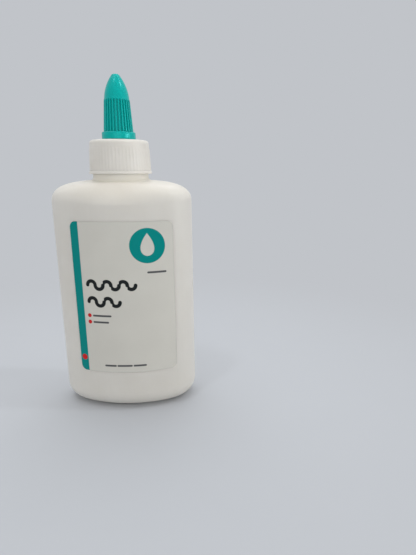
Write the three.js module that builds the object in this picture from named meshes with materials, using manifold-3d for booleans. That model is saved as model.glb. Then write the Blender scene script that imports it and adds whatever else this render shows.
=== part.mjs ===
// A school-glue squeeze bottle: a thin blow-moulded oval bottle of white glue, a screw-on base cap with
// a spout and a sealing pin, and a ribbed twist tip that rises off the pin to let the glue out.
// Millimetres, +Z up. The origin is on the table under the bottle's axis, and the label faces -Y.

import * as THREE from 'three';
import { mergeVertices } from 'three/addons/utils/BufferGeometryUtils.js';
import Module from 'manifold-3d';

// Bottle body: an oval of four arcs, two crowned faces and two round ends
const BODY_WIDTH = 58;
const BODY_DEPTH = 34;
const FACE_RADIUS = 48; // crown of the front and back faces
const BOTTLE_WALL = 0.9;
const HEEL_RADIUS = 8;
const RIM_WIDTH = 2.5; // flat ring that the bottle stands on
const PUSH_UP = 2; // height of the hollow under the base
const SHOULDER_START = 88.1; // height where the walls begin to round over
const SHOULDER_RISE = 9.2;
const SHOULDER_FALL = 1.3; // the part of that rise that is a steady slope up to the neck
const END_SQUARENESS = 2.8; // superellipse power of the shoulder over the round ends
const FACE_SQUARENESS = 1.3; // and over the crowned faces
const SADDLE_DROP = 0.8; // how much lower the shoulder meets the neck over the faces

// Neck, with a wide foot under the screw thread that stands in the cap's entry
const NECK_RADIUS = 9.6; // root of the thread
const NECK_WALL = 1.8;
const NECK_HEIGHT = 9.7; // from the foot to the lip
const LIP_CHAMFER = 0.4;
const FOOT_WIDTH = 1.6; // how far the foot stands out past the neck
const FOOT_HEIGHT = 3.3;
const FOOT_CHAMFER = 0.4;
const FOOT_FLARE = 1.2; // hollow round from the shoulder into the foot
const THREAD_DEPTH = 0.9; // room that the bottle's thread takes round the neck

// Glue inside the bottle
const FILL_DROP = 1.1; // how far its level lies below the shoulder
const FILL_GAP = 0.3;

// Seal ring between the neck's lip and the cap's deck
const SEAL_THICKNESS = 1;
const SEAL_GAP = 0.15; // above and below the ring
const SEAL_SIDE_GAP = 0.3;

// Base cap
const THREAD_CLEARANCE = 0.3;
const CAP_GAP = 2.5; // between the shoulder and the rim of the skirt
const CAP_WALL = 1.05; // skirt's wall at the deck
const CAP_ENTRY = 1.6; // depth of the wider entry at the rim, round the neck's foot
const CAP_ENTRY_GAP = 0.3; // round the foot
const CAP_DRAFT = 0.5; // how much wider the skirt is at its rim
const CAP_RIM_STEP = 0.33; // how far the band round the rim stands out past the skirt
const DECK_THICKNESS = 1.4;
const DECK_FILLET = 1.4;
const CAP_RIB_COUNT = 56;
const CAP_RECESS = 0.21; // how far the skirt is drawn in between its smooth bands
const CAP_RIB_DEPTH = 0.18; // ribs that fill most of that depth
const CAP_RIB_SINK = 0.35; // how deep the ribs are rooted in the skirt
const CAP_TOP_BAND = 3.25; // smooth band under the deck
const CAP_RIM_BAND = 1.1; // smooth band round the rim

// Spout on the base cap, with the pin that plugs the tip
const SPOUT_RADIUS = 4.2;
const SPOUT_BORE = 3.1; // radius of the channel
const SPOUT_HEIGHT = 10.4;
const WEB_COUNT = 3;
const WEB_THICKNESS = 0.9;
const WEB_HEIGHT = 2;
const PIN_BASE_RADIUS = 1.3;
const PIN_RADIUS = 0.55;
const PIN_LAND = 2.6; // straight length at the pin's end
const PIN_RECESS = 0.3; // how far the pin's end lies below the tip's end

// Twist tip
const TIP_GAP = 0.3; // between the deck and the collar
const TIP_CLEARANCE = 0.3; // round the spout
const TIP_WALL = 0.85;
const COLLAR_WIDTH = 1.37; // how far the collar stands out past the grip's root
const COLLAR_HEIGHT = 2.85;
const COLLAR_CHAMFER = 0.4;
const GRIP_HEIGHT = 12.15;
const GRIP_DRAFT = 0.72; // how much narrower the grip is at its top
const GRIP_RIB_COUNT = 28;
const GRIP_RIB_DEPTH = 0.55;
const NOSE_HEIGHT = 9.65;
const NOSE_STEP = 0.32; // how far the nose stands out past the grip's root
const NOSE_BULGE = 0.72; // sagitta of the nose's profile
const TIP_END_RADIUS = 1.65; // where the nose begins to round over to its end
const TIP_END_FLAT = 0.95; // radius of the flat round the orifice
const TIP_END_DROP = 0.5; // height of that rounding
const TIP_END_BULGE = 0.1;
const ORIFICE_CLEARANCE = 0.25; // round the pin
const ORIFICE_LAND = 1.6; // straight length of the orifice

// Front label, a film that follows the face
const LABEL_WIDTH = 42;
const LABEL_HEIGHT = 63.8;
const LABEL_BOTTOM = 18;
const LABEL_OFFSET = 2; // the label's middle lies this far to the right of the face's
const LABEL_CORNER = 2.5;
const LABEL_FILM = 0.12;
const LABEL_GAP = 0.06;

// Sections of a rib: each point's share of the pitch and of the depth
const CAP_RIB = [[0.05, 0], [0.3, 1], [0.7, 1], [0.95, 0]];
const GRIP_RIB = [[0.1, 0], [0.38, 1], [0.62, 1], [0.9, 0]];

// Facet counts
const BODY_SIDES = 56;
const CAP_SIDES = 48;
const TIP_SIDES = 36;
const DOME_STEPS = 3;
const HEEL_STEPS = 5;
const SHOULDER_STEPS = 8;
const ROUND_STEPS = 3;
const NOSE_STEPS = 6;
const LABEL_STEPS = 12;
const CORNER_STEPS = 4;

const wasm = await Module();
wasm.setup();

// Heights and radii that follow from the sizes above
const shoulderTop = SHOULDER_START + SHOULDER_RISE;
const fillLevel = SHOULDER_START - FILL_DROP;
const footTop = shoulderTop + FOOT_HEIGHT;
const footRadius = NECK_RADIUS + FOOT_WIDTH;
const neckBore = NECK_RADIUS - NECK_WALL;
const lipTop = footTop + NECK_HEIGHT;
const sealBottom = lipTop + SEAL_GAP;
const deckBottom = sealBottom + SEAL_THICKNESS + SEAL_GAP;
const deckTop = deckBottom + DECK_THICKNESS;
const capRim = shoulderTop + CAP_GAP;
const capBore = NECK_RADIUS + THREAD_DEPTH + THREAD_CLEARANCE;
const capTopRadius = capBore + CAP_WALL;
const capEntry = footRadius + CAP_ENTRY_GAP;
const spoutTop = deckTop + SPOUT_HEIGHT;
const collarBottom = deckTop + TIP_GAP;
const collarTop = collarBottom + COLLAR_HEIGHT;
const gripTop = collarTop + GRIP_HEIGHT;
const tipEnd = gripTop + NOSE_HEIGHT;
const tipBore = SPOUT_RADIUS + TIP_CLEARANCE;
const gripRoot = tipBore + TIP_WALL;
const orificeRadius = PIN_RADIUS + ORIFICE_CLEARANCE;

// Shares of a run from 0 to 1, in equal steps
const shares = (count) => Array.from({ length: count + 1 }, (_, i) => i / count);
const quarter = Math.PI / 2;

const materials = {
  bottle: new THREE.MeshStandardMaterial({ color: 0xdbd8d0, roughness: 0.45, metalness: 0 }),
  cap: new THREE.MeshStandardMaterial({ color: 0xe5e2da, roughness: 0.35, metalness: 0 }),
  tip: new THREE.MeshStandardMaterial({ color: 0x05a49d, roughness: 0.3, metalness: 0 }),
  seal: new THREE.MeshStandardMaterial({ color: 0xe6e6e0, roughness: 0.8, metalness: 0 }),
  glue: new THREE.MeshStandardMaterial({ color: 0xf2f0ea, roughness: 0.2, metalness: 0 }),
  label: new THREE.MeshStandardMaterial({ color: 0xcfccc6, roughness: 0.3, metalness: 0 }),
};

// A closed solid of a geometry, facing outwards
function solid(geometry) {
  const bare = geometry.clone();
  bare.deleteAttribute('normal');
  bare.deleteAttribute('uv');
  const merged = mergeVertices(bare);
  const triangles = [];
  const index = merged.index.array;
  for (let i = 0; i < index.length; i += 3) {
    const [a, b, c] = [index[i], index[i + 1], index[i + 2]];
    if (a !== b && b !== c && c !== a) triangles.push([a, b, c]);
  }
  const position = merged.attributes.position;
  const corner = (i) => new THREE.Vector3().fromBufferAttribute(position, i);
  const sixVolumes = triangles.map(([a, b, c]) => corner(a).dot(corner(b).cross(corner(c))));
  const inward = sixVolumes.reduce((sum, v) => sum + v, 0) < 0;
  const faces = inward ? triangles.map(([a, b, c]) => [a, c, b]) : triangles;
  return new wasm.Manifold(new wasm.Mesh({
    numProp: 3,
    vertProperties: Float32Array.from(position.array),
    triVerts: Uint32Array.from(faces.flat()),
  }));
}

// A named mesh of a solid
function piece(name, body, material) {
  const mesh = body.getMesh();
  const geometry = new THREE.BufferGeometry();
  geometry.setAttribute('position', new THREE.BufferAttribute(mesh.vertProperties, 3));
  geometry.setIndex(new THREE.BufferAttribute(mesh.triVerts, 1));
  geometry.computeVertexNormals();
  const result = new THREE.Mesh(geometry, material);
  result.name = name;
  return result;
}

// A closed skin over rings with equal counts of points, with a flat fan over the first and the last
function loft(rings) {
  const count = rings[0].length;
  const middle = (ring) => ring.reduce((sum, p) => sum.add(p), new THREE.Vector3()).divideScalar(count);
  const points = [middle(rings[0]), ...rings.flat(), middle(rings[rings.length - 1])];
  const at = (ring, i) => 1 + ring * count + (i % count);
  const faces = [];
  for (let i = 0; i < count; i++) {
    faces.push(0, at(0, i + 1), at(0, i));
    for (let ring = 0; ring + 1 < rings.length; ring++) {
      faces.push(at(ring, i), at(ring, i + 1), at(ring + 1, i + 1));
      faces.push(at(ring, i), at(ring + 1, i + 1), at(ring + 1, i));
    }
    faces.push(at(rings.length - 1, i), at(rings.length - 1, i + 1), points.length - 1);
  }
  const geometry = new THREE.BufferGeometry().setFromPoints(points);
  geometry.setIndex(faces);
  return geometry;
}

// A closed profile of [radius, height] points turned about the Z axis
function revolve(profile, sides) {
  const points = [...profile, profile[0]].map(([radius, height]) => new THREE.Vector2(radius, height));
  return new THREE.LatheGeometry(points, sides).rotateX(Math.PI / 2);
}

// A quarter round on a profile's outer corner, from its widest point to its highest
function quarterRound([radius, height], round) {
  return shares(ROUND_STEPS).map((share) => [
    radius - round * (1 - Math.cos(share * quarter)),
    height - round * (1 - Math.sin(share * quarter)),
  ]);
}

// Points after the first on a curve between two [radius, height] points, bulging outwards by its sagitta
function bulge(from, to, sagitta, steps) {
  const chord = new THREE.Vector2(to[0] - from[0], to[1] - from[1]);
  const control = new THREE.Vector2(chord.y, -chord.x).setLength(2 * sagitta);
  control.add(new THREE.Vector2((from[0] + to[0]) / 2, (from[1] + to[1]) / 2));
  const curve = new THREE.QuadraticBezierCurve(new THREE.Vector2(...from), control, new THREE.Vector2(...to));
  return curve.getPoints(steps).slice(1).map((p) => [p.x, p.y]);
}

// The body's oval, drawn in by an inset: its end arc, face arc and the point where they meet
function oval(inset) {
  const halfWidth = BODY_WIDTH / 2;
  const halfDepth = BODY_DEPTH / 2;
  const endRadius = (2 * FACE_RADIUS * halfDepth - halfWidth ** 2 - halfDepth ** 2)
    / (2 * (FACE_RADIUS - halfWidth));
  const endCentre = new THREE.Vector2(halfWidth - endRadius, 0);
  const faceCentre = new THREE.Vector2(0, halfDepth - FACE_RADIUS);
  const joint = endCentre.clone().sub(faceCentre).setLength(endRadius - inset).add(endCentre);
  return { endCentre, faceCentre, joint, endRadius: endRadius - inset, faceRadius: FACE_RADIUS - inset };
}

// Distance from the axis to the oval along an angle
function ovalReach(angle, inset) {
  const { endCentre, faceCentre, joint, endRadius, faceRadius } = oval(inset);
  const ray = new THREE.Vector2(Math.abs(Math.cos(angle)), Math.abs(Math.sin(angle)));
  const onEnd = ray.y * joint.x < joint.y * ray.x;
  const centre = onEnd ? endCentre : faceCentre;
  const along = ray.dot(centre);
  return along + Math.sqrt((onEnd ? endRadius : faceRadius) ** 2 - centre.lengthSq() + along ** 2);
}

const bodyAngles = Array.from({ length: BODY_SIDES }, (_, i) => (2 * Math.PI * i) / BODY_SIDES);

function polarRing(reach, height) {
  return bodyAngles.map((angle) => new THREE.Vector3(
    reach(angle) * Math.cos(angle), reach(angle) * Math.sin(angle), height(angle)));
}

const roundRing = (radius, height) => polarRing(() => radius, () => height);

// Distance from the axis to an ellipse under the base, drawn in from the body's width and depth
function baseReach(angle, drawnIn) {
  const across = Math.cos(angle) / (BODY_WIDTH / 2 - drawnIn);
  const through = Math.sin(angle) / (BODY_DEPTH / 2 - drawnIn);
  return 1 / Math.hypot(across, through);
}

// Rings of a layer of the body from the middle of the base, over the standing rim and up round the heel
function baseRings(inset) {
  const dome = shares(DOME_STEPS).slice(1).map((share) => polarRing(
    (angle) => share * baseReach(angle, HEEL_RADIUS + RIM_WIDTH),
    () => inset + PUSH_UP * (1 - share ** 2),
  ));
  const heel = shares(HEEL_STEPS).map((share) => share * quarter).map((turn) => polarRing(
    (angle) => THREE.MathUtils.lerp(baseReach(angle, HEEL_RADIUS), ovalReach(angle, inset), Math.sin(turn)),
    () => HEEL_RADIUS - (HEEL_RADIUS - inset) * Math.cos(turn),
  ));
  return [...dome, ...heel];
}

// How much lower the shoulder meets the neck at an angle
const saddle = (angle) => SADDLE_DROP * Math.sin(angle) ** 2;

// Rings of the shoulder from the wall to a neck of the given radius: each meridian is a superellipse
function shoulderRings(inset, neckRadius) {
  const rise = (angle) => SHOULDER_RISE - SHOULDER_FALL - inset - saddle(angle);
  const power = (angle) => 2 / (FACE_SQUARENESS + (END_SQUARENESS - FACE_SQUARENESS) * Math.cos(angle) ** 2);
  return shares(SHOULDER_STEPS).map((share) => {
    const out = (angle) => Math.max(Math.cos(share * quarter), 0) ** power(angle);
    const up = (angle) => Math.sin(share * quarter) ** power(angle);
    return polarRing(
      (angle) => neckRadius + (ovalReach(angle, inset) - neckRadius) * out(angle),
      (angle) => SHOULDER_START + rise(angle) * up(angle) + SHOULDER_FALL * (1 - out(angle)),
    );
  });
}

// Blow-moulded bottle: one skin up the outside, over the lip and down the inside
function makeBottle() {
  const outside = [...baseRings(0), ...shoulderRings(0, footRadius + FOOT_FLARE)];
  const flare = shares(ROUND_STEPS).slice(1).map((share) => polarRing(
    () => footRadius + FOOT_FLARE * (1 - Math.sin(share * quarter)),
    (angle) => shoulderTop - saddle(angle) + FOOT_FLARE * (1 - Math.cos(share * quarter)),
  ));
  const neck = [
    roundRing(footRadius, footTop - FOOT_CHAMFER),
    roundRing(footRadius - FOOT_CHAMFER, footTop),
    roundRing(NECK_RADIUS, footTop),
    roundRing(NECK_RADIUS, lipTop - LIP_CHAMFER),
    roundRing(NECK_RADIUS - LIP_CHAMFER, lipTop),
    roundRing(neckBore, lipTop),
  ];
  const inside = [...baseRings(BOTTLE_WALL), ...shoulderRings(BOTTLE_WALL, neckBore)].reverse();
  return solid(loft([...outside, ...flare, ...neck, ...inside]));
}

// Glue standing in the bottle up to its fill level
function makeGlue() {
  const inset = BOTTLE_WALL + FILL_GAP;
  const surface = polarRing((angle) => ovalReach(angle, inset), () => fillLevel);
  return solid(loft([...baseRings(inset), surface]));
}

function makeSealRing() {
  const outer = capBore - SEAL_SIDE_GAP;
  const top = sealBottom + SEAL_THICKNESS;
  const section = [[neckBore, sealBottom], [outer, sealBottom], [outer, top], [neckBore, top]];
  return solid(revolve(section, CAP_SIDES));
}

// A ring of upright ribs: a toothed outline with a round hole, drawn in with height
function ribbedBand({ count, section, root, depth, inner, bottom, height, draft }) {
  const pitch = (2 * Math.PI) / count;
  const outline = Array.from({ length: count }, (_, i) =>
    section.map(([along, out]) => [root + depth * out, (i + along) * pitch])).flat();
  const shape = new THREE.Shape(outline.map(([r, angle]) =>
    new THREE.Vector2(r * Math.cos(angle), r * Math.sin(angle))));
  shape.holes.push(new THREE.Path().absarc(0, 0, inner, 0, 2 * Math.PI, true));
  const extrusion = { depth: height, bevelEnabled: false, curveSegments: count / 2 };
  const geometry = new THREE.ExtrudeGeometry(shape, extrusion);
  const position = geometry.attributes.position;
  for (let i = 0; i < position.count; i++) {
    const narrower = 1 - (draft / root) * (position.getZ(i) / height);
    position.setXY(i, position.getX(i) * narrower, position.getY(i) * narrower);
  }
  return geometry.translate(0, 0, bottom);
}

// Radius of the tip's bore at a height: straight in the collar, then drawn in as the grip is
function boreAt(height) {
  const share = THREE.MathUtils.clamp((height - collarTop) / GRIP_HEIGHT, 0, 1);
  return tipBore - GRIP_DRAFT * share;
}

// Base cap: skirt, deck and spout in one turned moulding, with the pin carried by webs in the spout
function makeBaseCap() {
  const skirtAt = (height) => capTopRadius + (CAP_DRAFT * (deckTop - height)) / (deckTop - capRim);
  const rimBandTop = capRim + CAP_RIM_BAND;
  const ribTop = deckTop - CAP_TOP_BAND;
  const spoutEnd = boreAt(spoutTop) - TIP_CLEARANCE;
  const sunk = CAP_RIM_BAND / 2;
  const ribRoot = skirtAt(rimBandTop - sunk) - CAP_RECESS;
  const shell = solid(revolve([
    [capEntry, capRim],
    [skirtAt(capRim) + CAP_RIM_STEP, capRim],
    [skirtAt(rimBandTop) + CAP_RIM_STEP, rimBandTop],
    [skirtAt(rimBandTop) - CAP_RECESS, rimBandTop],
    [skirtAt(ribTop) - CAP_RECESS, ribTop],
    [skirtAt(ribTop), ribTop],
    ...quarterRound([capTopRadius, deckTop], DECK_FILLET),
    [SPOUT_RADIUS, deckTop],
    [SPOUT_RADIUS, collarTop],
    [spoutEnd, spoutTop],
    [SPOUT_BORE, spoutTop],
    [SPOUT_BORE, deckBottom],
    [capBore, deckBottom],
    [capBore, capRim + CAP_ENTRY + capEntry - capBore],
    [capEntry, capRim + CAP_ENTRY],
  ], CAP_SIDES));
  const ribs = solid(ribbedBand({
    count: CAP_RIB_COUNT,
    section: CAP_RIB,
    root: ribRoot,
    depth: CAP_RIB_DEPTH,
    inner: ribRoot - CAP_RIB_SINK,
    bottom: rimBandTop - sunk,
    height: ribTop - rimBandTop + 2 * sunk,
    draft: skirtAt(rimBandTop - sunk) - skirtAt(ribTop + sunk),
  }));
  const webBottom = spoutTop - WEB_HEIGHT;
  const pinEnd = tipEnd - PIN_RECESS;
  const pin = solid(revolve([
    [0, webBottom],
    [PIN_BASE_RADIUS, webBottom],
    [PIN_BASE_RADIUS, spoutTop],
    [PIN_RADIUS, pinEnd - PIN_LAND],
    [PIN_RADIUS, pinEnd],
    [0, pinEnd],
  ], TIP_SIDES));
  const webLength = (SPOUT_BORE + spoutEnd) / 2;
  const webs = Array.from({ length: WEB_COUNT }, (_, i) => {
    const web = new THREE.BoxGeometry(webLength, WEB_THICKNESS, WEB_HEIGHT);
    web.translate(webLength / 2, 0, (webBottom + spoutTop) / 2);
    return solid(web.rotateZ((2 * Math.PI * i) / WEB_COUNT));
  });
  return [ribs, pin, ...webs].reduce((sum, part) => sum.add(part), shell);
}

// Twist tip: collar, ribbed grip and round nose over a bore that follows them to the orifice
function makeTwistTip() {
  const gripTopRoot = gripRoot - GRIP_DRAFT;
  const noseRadius = gripTopRoot + NOSE_STEP;
  const collarRadius = gripRoot + COLLAR_WIDTH;
  const noseTop = [TIP_END_RADIUS, tipEnd - TIP_END_DROP];
  const landBottom = [orificeRadius, tipEnd - ORIFICE_LAND];
  const shell = solid(revolve([
    [tipBore, collarBottom],
    [collarRadius, collarBottom],
    [collarRadius, collarTop - COLLAR_CHAMFER],
    [collarRadius - COLLAR_CHAMFER, collarTop],
    [gripRoot, collarTop],
    [gripTopRoot, gripTop],
    [noseRadius, gripTop],
    ...bulge([noseRadius, gripTop], noseTop, NOSE_BULGE, NOSE_STEPS),
    ...bulge(noseTop, [TIP_END_FLAT, tipEnd], TIP_END_BULGE, ROUND_STEPS),
    [orificeRadius, tipEnd],
    landBottom,
    ...bulge([boreAt(gripTop), gripTop], landBottom, NOSE_BULGE, NOSE_STEPS).reverse().slice(1),
    [boreAt(gripTop), gripTop],
    [tipBore, collarTop],
  ], TIP_SIDES));
  const sunk = COLLAR_HEIGHT / 2;
  const ribs = solid(ribbedBand({
    count: GRIP_RIB_COUNT,
    section: GRIP_RIB,
    root: gripRoot,
    depth: GRIP_RIB_DEPTH,
    inner: tipBore + TIP_WALL / 2,
    bottom: collarTop - sunk,
    height: GRIP_HEIGHT + sunk,
    draft: GRIP_DRAFT,
  }));
  return shell.add(ribs);
}

// A point on the front face and its round ends, by distance along the oval from the middle of the face
function faceSpot(distance, offset, height) {
  const { endCentre, faceCentre, joint, endRadius } = oval(0);
  const faceTurn = Math.atan2(joint.x, joint.y - faceCentre.y);
  const faceRun = FACE_RADIUS * faceTurn;
  const past = Math.max(Math.abs(distance) - faceRun, 0);
  const turn = past > 0 ? faceTurn + past / endRadius : Math.abs(distance) / FACE_RADIUS;
  const radius = (past > 0 ? endRadius : FACE_RADIUS) + offset;
  const centre = past > 0 ? endCentre : faceCentre;
  const side = Math.sign(distance) * (centre.x + radius * Math.sin(turn));
  return new THREE.Vector3(side, -(centre.y + radius * Math.cos(turn)), height);
}

// Label film with round corners: upright strips side by side along the face
function makeLabel() {
  const flat = LABEL_WIDTH / 2 - LABEL_CORNER;
  const middle = shares(LABEL_STEPS).map((share) => ({ along: flat * (2 * share - 1), cut: 0 }));
  const corner = shares(CORNER_STEPS).slice(1).map((share) => ({
    along: flat + LABEL_CORNER * Math.sin(share * quarter),
    cut: LABEL_CORNER * (1 - Math.cos(share * quarter)),
  }));
  const mirrored = corner.map(({ along, cut }) => ({ along: -along, cut })).reverse();
  const outer = LABEL_GAP + LABEL_FILM;
  const strips = [...mirrored, ...middle, ...corner].map(({ along, cut }) => {
    const low = LABEL_BOTTOM + cut;
    const high = LABEL_BOTTOM + LABEL_HEIGHT - cut;
    return [[LABEL_GAP, low], [LABEL_GAP, high], [outer, high], [outer, low]].map(([offset, height]) =>
      faceSpot(along + LABEL_OFFSET, offset, height));
  });
  return solid(loft(strips));
}

const glueBottle = new THREE.Group();
glueBottle.add(
  piece('bottle', makeBottle(), materials.bottle),
  piece('glue_fill', makeGlue(), materials.glue),
  piece('front_label', makeLabel(), materials.label),
  piece('base_cap', makeBaseCap(), materials.cap),
  piece('seal_ring', makeSealRing(), materials.seal),
  piece('twist_tip', makeTwistTip(), materials.tip),
);

export default glueBottle;
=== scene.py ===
from math import atan2, copysign, cos, hypot, pi, radians, sin, sqrt

import bmesh
import bpy
from mathutils import Matrix, Vector


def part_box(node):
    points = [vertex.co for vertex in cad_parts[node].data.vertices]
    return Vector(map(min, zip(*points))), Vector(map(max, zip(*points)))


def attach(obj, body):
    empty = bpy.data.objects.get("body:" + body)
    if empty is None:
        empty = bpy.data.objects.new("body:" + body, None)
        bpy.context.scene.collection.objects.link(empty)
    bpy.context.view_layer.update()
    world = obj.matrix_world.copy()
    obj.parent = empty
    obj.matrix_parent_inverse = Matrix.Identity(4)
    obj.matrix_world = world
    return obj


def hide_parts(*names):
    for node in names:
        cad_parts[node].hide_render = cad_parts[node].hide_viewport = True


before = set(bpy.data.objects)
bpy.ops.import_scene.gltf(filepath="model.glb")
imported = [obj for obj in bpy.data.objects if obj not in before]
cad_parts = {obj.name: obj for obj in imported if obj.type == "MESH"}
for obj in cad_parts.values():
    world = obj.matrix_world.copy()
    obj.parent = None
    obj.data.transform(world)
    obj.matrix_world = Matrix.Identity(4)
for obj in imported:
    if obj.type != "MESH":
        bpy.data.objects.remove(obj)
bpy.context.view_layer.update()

mm = 0.001  # sizes in the dictionaries are millimetres, unless a note says otherwise
weld = 0.5e-6  # points nearer than this become one, in metres
closing = 1e-6  # the same where a turned shape meets its start
sharpAngle = radians(38)  # edges that bend more than this stay sharp
print("frame loaded:", len(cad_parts), "nodes")


class Wire:  # a node socket that takes part in Python expressions
    def __init__(self, tree, socket=None):
        self.tree = tree
        self.socket = socket

    def node(self, kind, settings=None, sockets=None, out=0):  # any node, its settings before its sockets
        made = self.tree.nodes.new(kind)
        for name, value in (settings or {}).items():
            setattr(made, name, value)
        for name, value in (sockets or {}).items():
            self.feed(made.inputs[name], value)
        return Wire(self.tree, made.outputs[out] if len(made.outputs) else None)

    def feed(self, target, value):
        if isinstance(value, Wire):
            self.tree.links.new(value.socket, target)
        else:
            target.default_value = value

    def set(self, name, value):  # feeds another input of the node that this socket belongs to
        self.feed(self.socket.node.inputs[name], value)

    def other(self, name):  # another output of the same node
        return Wire(self.tree, self.socket.node.outputs[name])

    def math(self, operation, *values):
        return self.node("ShaderNodeMath", {"operation": operation}, dict(enumerate(values)))

    def __add__(self, value):
        return self.math("ADD", self, value)

    def __radd__(self, value):
        return self.math("ADD", value, self)

    def __sub__(self, value):
        return self.math("SUBTRACT", self, value)

    def __rsub__(self, value):
        return self.math("SUBTRACT", value, self)

    def __mul__(self, value):
        return self.math("MULTIPLY", self, value)

    def __rmul__(self, value):
        return self.math("MULTIPLY", value, self)

    def __truediv__(self, value):
        return self.math("DIVIDE", self, value)

    def __rtruediv__(self, value):
        return self.math("DIVIDE", value, self)

    def __abs__(self):
        return self.math("ABSOLUTE", self)

    def least(self, value):
        return self.math("MINIMUM", self, value)

    def most(self, value):
        return self.math("MAXIMUM", self, value)

    def root(self):
        return self.math("SQRT", self)

    def sine(self):
        return self.math("SINE", self)

    def cosine(self):
        return self.math("COSINE", self)

    def soft(self, low, high):  # 0 below low, 1 above high, smooth between them
        settings = {"interpolation_type": "SMOOTHSTEP"}
        return self.node("ShaderNodeMapRange", settings, {"Value": self, "From Min": low, "From Max": high})

    def ramp(self, span):  # soft, over a span in millimetres
        return self.soft(span[0] * mm, span[1] * mm)

    def split(self):
        x = self.node("ShaderNodeSeparateXYZ", None, {"Vector": self}, "X")
        return x, x.other("Y"), x.other("Z")

    def blend(self, first, second):  # mixes two colours, with this socket as the share of the second
        return self.node("ShaderNodeMix", {"data_type": "RGBA"}, {0: self, 6: first, 7: second}, 2)


def colour(red, green, blue):
    return (red, green, blue, 1.0)


def finish(name, fixed):  # a material with one principled shader and its fixed values
    made = bpy.data.materials.new(name)
    made.use_nodes = True
    made.node_tree.nodes.clear()
    shader = Wire(made.node_tree).node("ShaderNodeBsdfPrincipled", None, fixed)
    shader.node("ShaderNodeOutputMaterial", None, {"Surface": shader})
    return made, shader


def objectPlace(shader):  # coordinates that stay with the piece
    return shader.node("ShaderNodeTexCoord", None, None, "Object")


def grain(shader, place, scale, detail=2.0):  # noise about 0.5, its scale in cells per metre
    sockets = {"Vector": place, "Scale": scale, "Detail": detail, "Roughness": 0.55}
    return shader.node("ShaderNodeTexNoise", None, sockets, "Fac")


def relief(shader, height, distance, strength):  # bump whose full height is the distance
    sockets = {"Height": height, "Distance": distance * mm, "Strength": strength}
    shader.set("Normal", shader.node("ShaderNodeBump", None, sockets, "Normal"))


bottleLook = {  # clouds, lines and pebbles in cells per metre
    "pale": colour(0.786, 0.742, 0.664), "deep": colour(0.748, 0.703, 0.624),
    "neck": colour(0.840, 0.800, 0.705),  # painted light: paler, to stand in for light that reaches the neck under the cap
    "neckLightRise": (95.0, 96.4), "neckLightReach": (11.6, 12.7),
    "clouds": 55.0, "cloudSpan": (0.35, 0.72),  # faint clouding of a blown wall
    "lines": 900.0, "lineSpan": (0.3, 0.8), "lineDraw": 0.06,  # drawn out along the height
    "pebbles": 2600.0,
    "seam": (0.05, 0.20), "seamStart": (11.7, 12.5),  # parting line of the mould on both narrow sides
    "roughness": 0.36, "relief": 0.05, "scatter": 3.5,
}


def whiteBottle():
    look = bottleLook
    made, shader = finish("satinWhiteBottle", {
        "IOR": 1.5, "Subsurface Weight": 0.85, "Subsurface Radius": (1.0, 1.0, 1.0),
        "Subsurface Scale": look["scatter"] * mm,
    })
    place = objectPlace(shader)
    x, y, z = place.split()
    drawn = shader.node("ShaderNodeMapping", None, {"Vector": place, "Scale": (1.0, 1.0, look["lineDraw"])})
    cloud = grain(shader, place, look["clouds"], 3.0)
    lines = grain(shader, drawn, look["lines"])
    pebble = grain(shader, place, look["pebbles"], 1.0)
    mottle = cloud.soft(*look["cloudSpan"]) * 0.8 + lines.soft(*look["lineSpan"]) * 0.2
    # painted light: the neck under the cap is made paler, by height and by nearness to the axis
    neck = z.ramp(look["neckLightRise"]) * (1 - (x * x + y * y).root().ramp(look["neckLightReach"]))
    shader.set("Base Color", neck.blend(mottle.blend(look["pale"], look["deep"]), look["neck"]))
    shader.set("Roughness", look["roughness"] + cloud * 0.08 + pebble * 0.06)
    seam = (1 - abs(y).ramp(look["seam"])) * abs(x).ramp(look["seamStart"])
    relief(shader, seam * 0.9 + lines * 0.25 + pebble * 0.12, look["relief"], 0.8)
    return made


capLook = {
    "pale": colour(0.730, 0.699, 0.644), "deep": colour(0.697, 0.666, 0.608),
    "clouds": 130.0, "cloudSpan": (0.3, 0.75), "pebbles": 3800.0,
    "roughness": 0.30, "relief": 0.03, "scatter": 2.0,
}


def whiteCap():
    look = capLook
    made, shader = finish("whiteCapPlastic", {
        "IOR": 1.49, "Subsurface Weight": 0.6, "Subsurface Radius": (1.0, 1.0, 0.95),
        "Subsurface Scale": look["scatter"] * mm,
    })
    place = objectPlace(shader)
    cloud = grain(shader, place, look["clouds"], 3.0)
    pebble = grain(shader, place, look["pebbles"], 1.0)
    shader.set("Base Color", cloud.soft(*look["cloudSpan"]).blend(look["pale"], look["deep"]))
    shader.set("Roughness", look["roughness"] + cloud * 0.08 + pebble * 0.05)
    relief(shader, cloud * 0.5 + pebble * 0.2, look["relief"], 0.7)
    return made


tealGloss = colour(0.2, 1.0, 1.0)  # tint of the gloss on the tip and on the label
tipLook = {
    "bright": colour(0.001, 0.412, 0.374), "deep": colour(0.001, 0.392, 0.355),
    "paintedGrooveShade": colour(0.001, 0.345, 0.314),  # painted shade: a deeper colour between the ribs, where shade falls
    "clouds": 160.0, "cloudSpan": (0.3, 0.75), "pebbles": 4200.0,
    "roughness": 0.20, "relief": 0.012,
}


def tealTip():
    look = tipLook
    made, shader = finish("tealTipPlastic", {
        "IOR": 1.5, "Specular IOR Level": 0.62, "Specular Tint": tealGloss,
    })
    place = objectPlace(shader)
    cloud = grain(shader, place, look["clouds"])
    pebble = grain(shader, place, look["pebbles"], 1.0)
    # painted shade: the grooves between the ribs take the deeper colour, through the mask stored with the
    # turned shape
    crest = shader.node("ShaderNodeAttribute", {"attribute_name": "grooveShadeMask"}, None, "Fac")
    rib = cloud.soft(*look["cloudSpan"]).blend(look["bright"], look["deep"])
    shader.set("Base Color", crest.blend(look["paintedGrooveShade"], rib))
    shader.set("Roughness", look["roughness"] + cloud * 0.05 + pebble * 0.03)
    relief(shader, cloud * 0.4 + pebble * 0.05, look["relief"], 0.6)
    return made


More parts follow.
